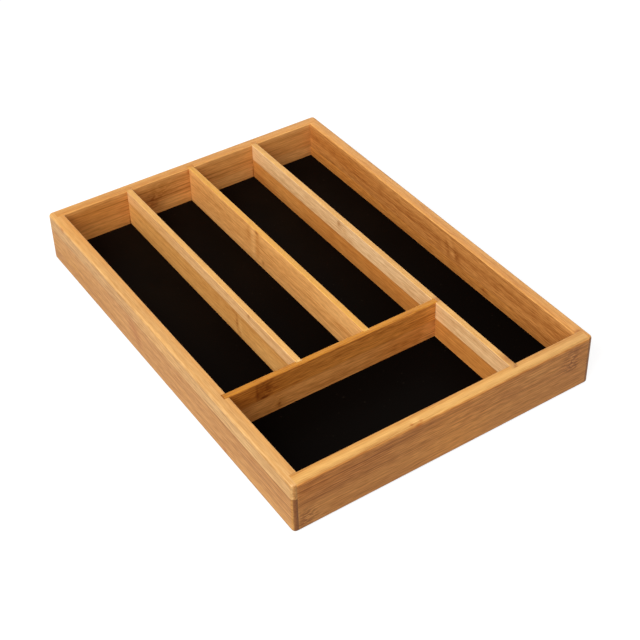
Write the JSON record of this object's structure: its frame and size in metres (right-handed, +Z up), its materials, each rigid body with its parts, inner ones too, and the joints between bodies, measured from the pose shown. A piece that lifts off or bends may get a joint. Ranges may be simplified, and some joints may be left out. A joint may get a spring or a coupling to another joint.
{
  "type": "cutlery tray",
  "caption": "Flat wooden drawer tray for cutlery, with long side-by-side lanes, a wide front compartment and a dark let-in base.",
  "frame": {"origin": "centre of the plan at the underside of the walls, where the tray rests", "axes": "+Y along the lanes from the front wall to the back wall, +X to the right, where the lane of full depth is, +Z up out of the compartments"},
  "size_m": [0.26, 0.37, 0.045],
  "materials": {
    "bamboo_pale": "pale bamboo strip, sanded, with a thin clear satin finish",
    "bamboo_warm": "carbonised orange-brown bamboo strip, sanded, with a thin clear satin finish",
    "black_panel": "hardboard panel with a smooth near-black satin face"
  },
  "bodies": {
    "root": {"left_wall_top_strip": "bamboo_pale", "left_wall_bottom_strip": "bamboo_warm", "right_wall_top_strip": "bamboo_warm", "right_wall_bottom_strip": "bamboo_pale", "front_wall_top_strip": "bamboo_warm", "front_wall_bottom_strip": "bamboo_pale", "back_wall_top_strip": "bamboo_warm", "back_wall_bottom_strip": "bamboo_pale", "left_divider_top_strip": "bamboo_pale", "left_divider_bottom_strip": "bamboo_warm", "middle_divider_top_strip": "bamboo_pale", "middle_divider_bottom_strip": "bamboo_warm", "long_divider_top_strip": "bamboo_pale", "long_divider_bottom_strip": "bamboo_warm", "cross_divider_top_strip": "bamboo_warm", "cross_divider_bottom_strip": "bamboo_pale", "base_panel": "black_panel"}
  },
  "joints": []
}
